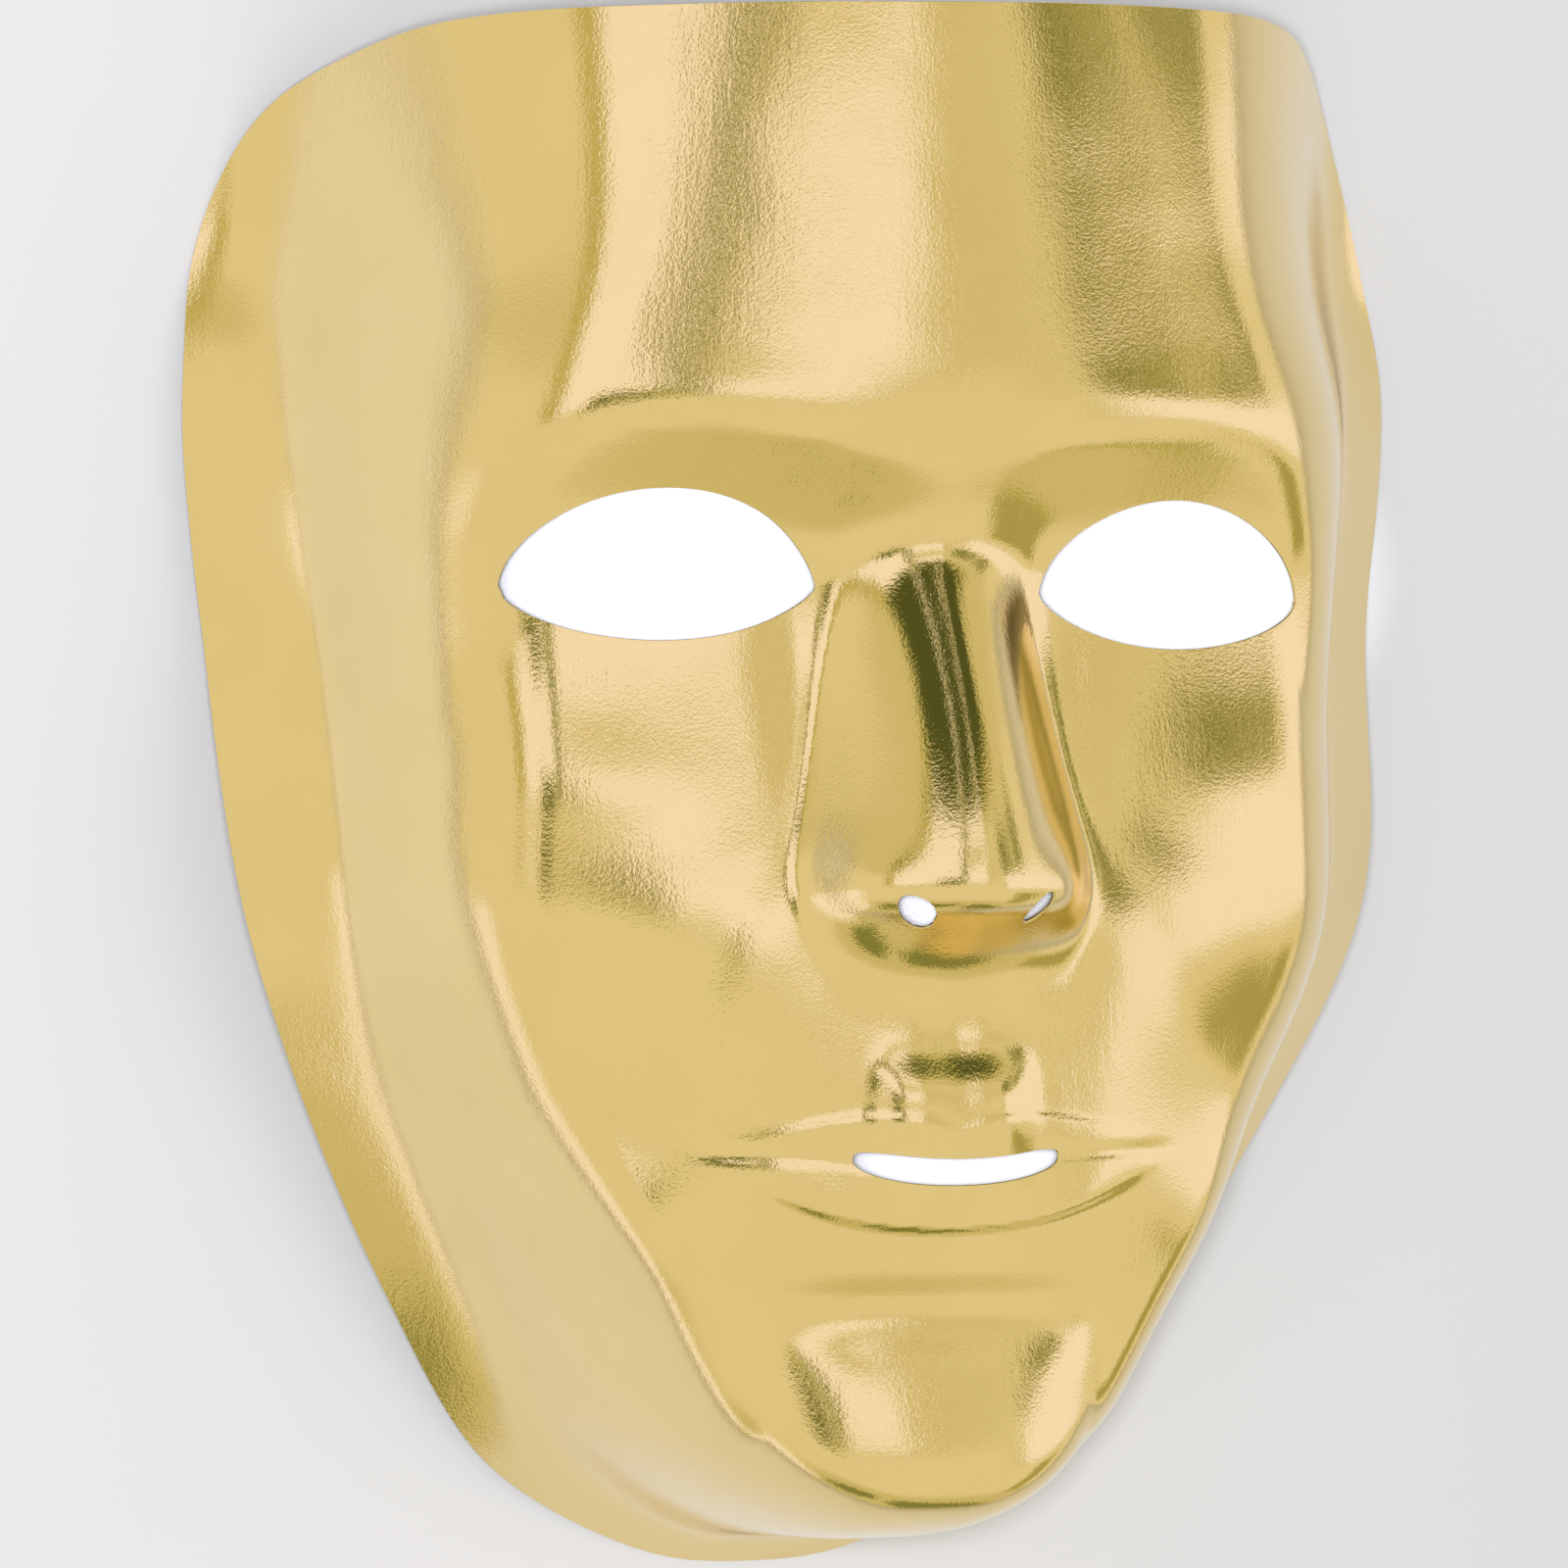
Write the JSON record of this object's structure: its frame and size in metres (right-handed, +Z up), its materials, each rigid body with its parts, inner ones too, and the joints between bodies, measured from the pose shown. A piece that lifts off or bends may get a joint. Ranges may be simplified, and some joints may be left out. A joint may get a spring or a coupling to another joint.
{
  "type": "full face mask",
  "caption": "Full face mask pressed from one thin plastic sheet, with almond eye openings, nostril holes, a narrow mouth slot and a turned-out rim.",
  "frame": {"origin": "middle of the underside of the bounding box, with the mask lying face up", "axes": "+Y from chin to forehead, +Z up out of the face through the nose, +X across the face to the right of someone looking at its front"},
  "size_m": [0.1794, 0.2196, 0.0777],
  "materials": {
    "gold_film": "metallised gloss"
  },
  "bodies": {
    "root": {"mask_shell": "gold_film"}
  },
  "joints": []
}
